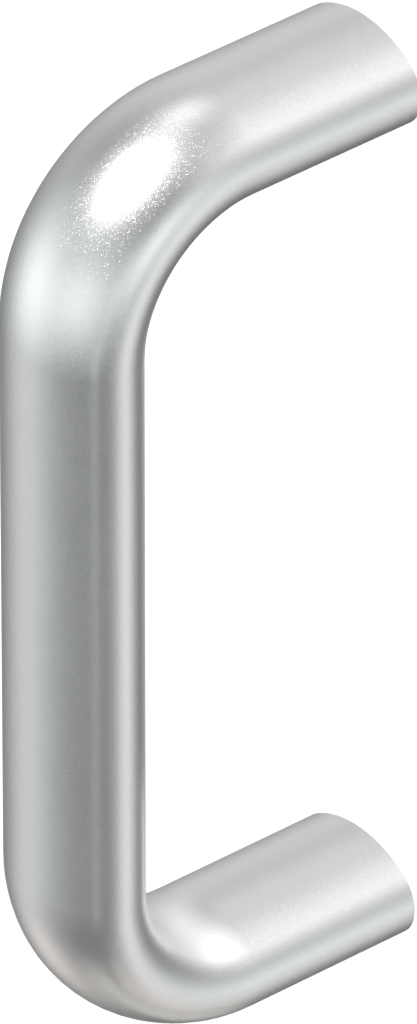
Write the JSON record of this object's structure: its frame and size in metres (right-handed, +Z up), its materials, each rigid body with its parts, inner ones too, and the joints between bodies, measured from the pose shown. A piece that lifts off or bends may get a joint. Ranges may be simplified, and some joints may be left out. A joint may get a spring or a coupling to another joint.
{
  "type": "bow handle",
  "caption": "Oval aluminium bow handle for a cabinet door or drawer, bent at both ends and fixed by screws from behind the door.",
  "frame": {"origin": "on the door's face, midway between the two screw holes", "axes": "+Z up along the grip, +Y along the legs into the door, +X across the broad side of the bar"},
  "size_m": [0.02, 0.049, 0.125],
  "materials": {
    "handle": "fine blasted, matt, natural anodised"
  },
  "bodies": {
    "root": {"handle": "handle"}
  },
  "joints": []
}
